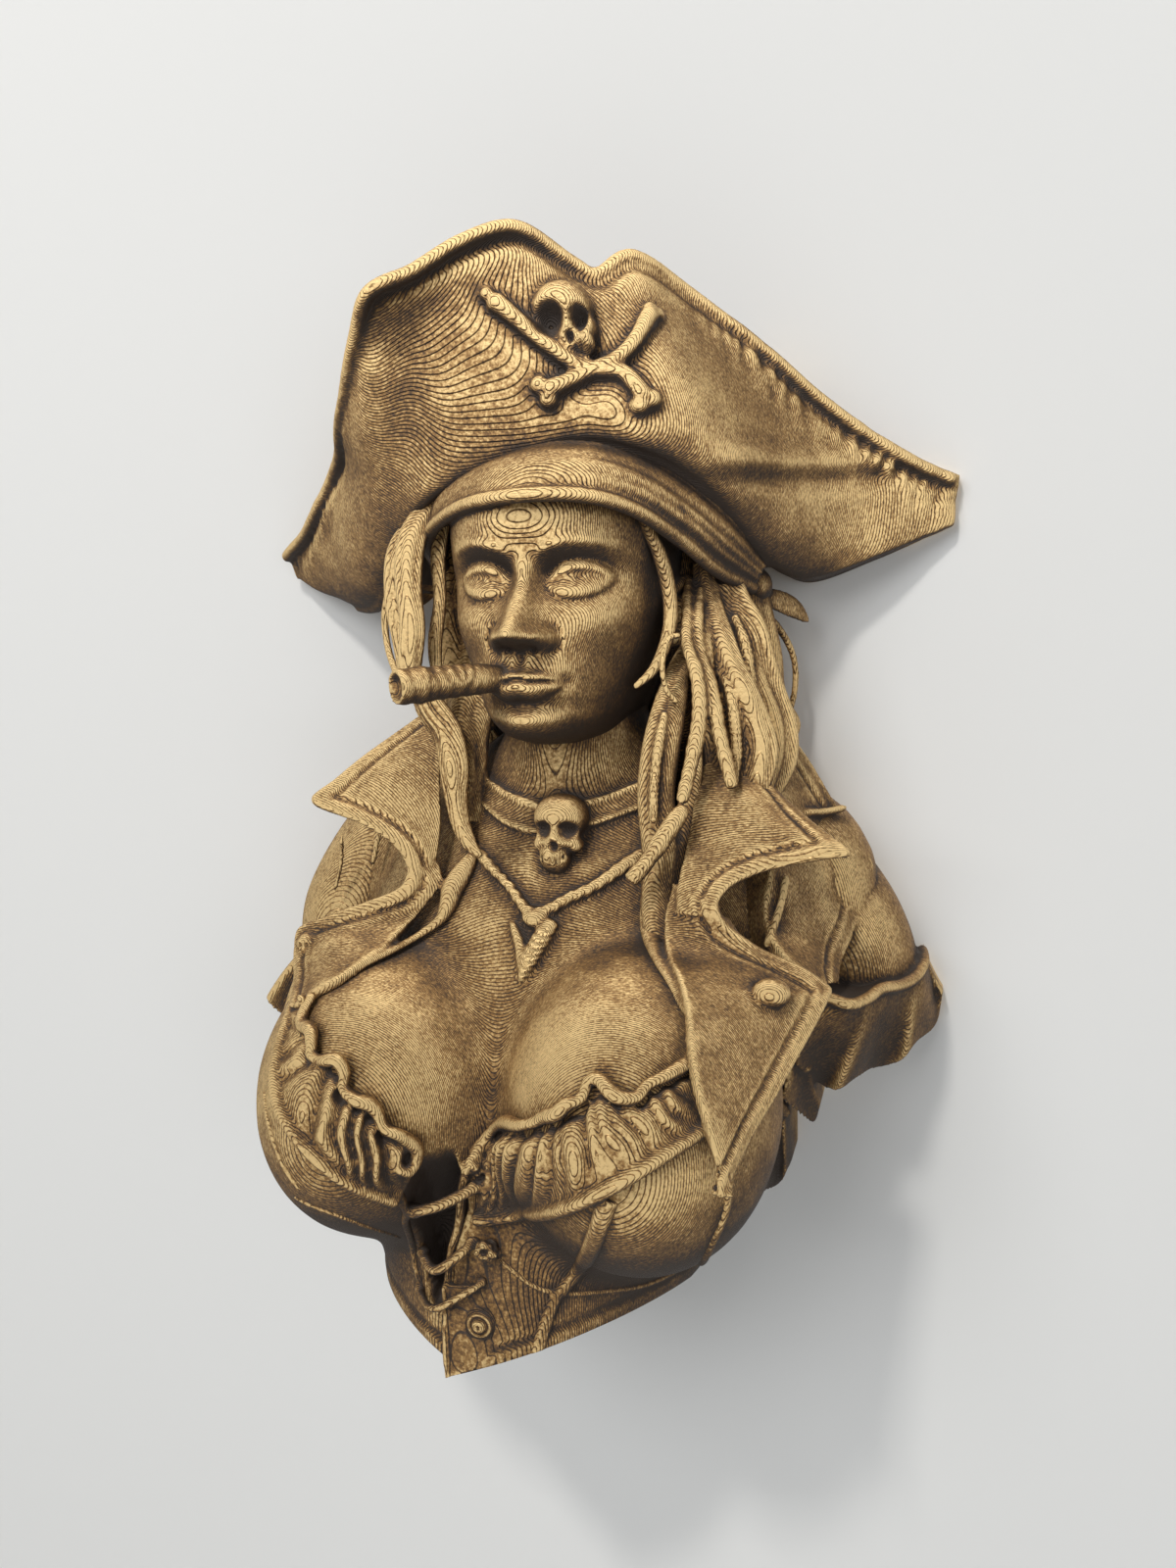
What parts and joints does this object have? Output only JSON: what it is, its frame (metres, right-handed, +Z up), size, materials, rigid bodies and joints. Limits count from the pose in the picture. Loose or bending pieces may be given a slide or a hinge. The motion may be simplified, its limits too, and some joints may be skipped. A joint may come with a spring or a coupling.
{
  "type": "pirate wall bust",
  "caption": "Flat-backed high-relief wall bust of a pirate in a cocked hat, open coat and laced bodice, hung from a keyhole slot in its back.",
  "frame": {"origin": "on the flat back, at mid height and about mid width", "axes": "+Z up, +X to the right of someone facing the bust, +Y into the wall, so the figure looks along -Y"},
  "size_m": [0.1736, 0.094, 0.24],
  "materials": {
    "antique_gold": "antique gold paint rubbed over a dark wash, satin, with fine print layers"
  },
  "bodies": {
    "root": {"pirate_bust": "antique_gold"}
  },
  "joints": []
}
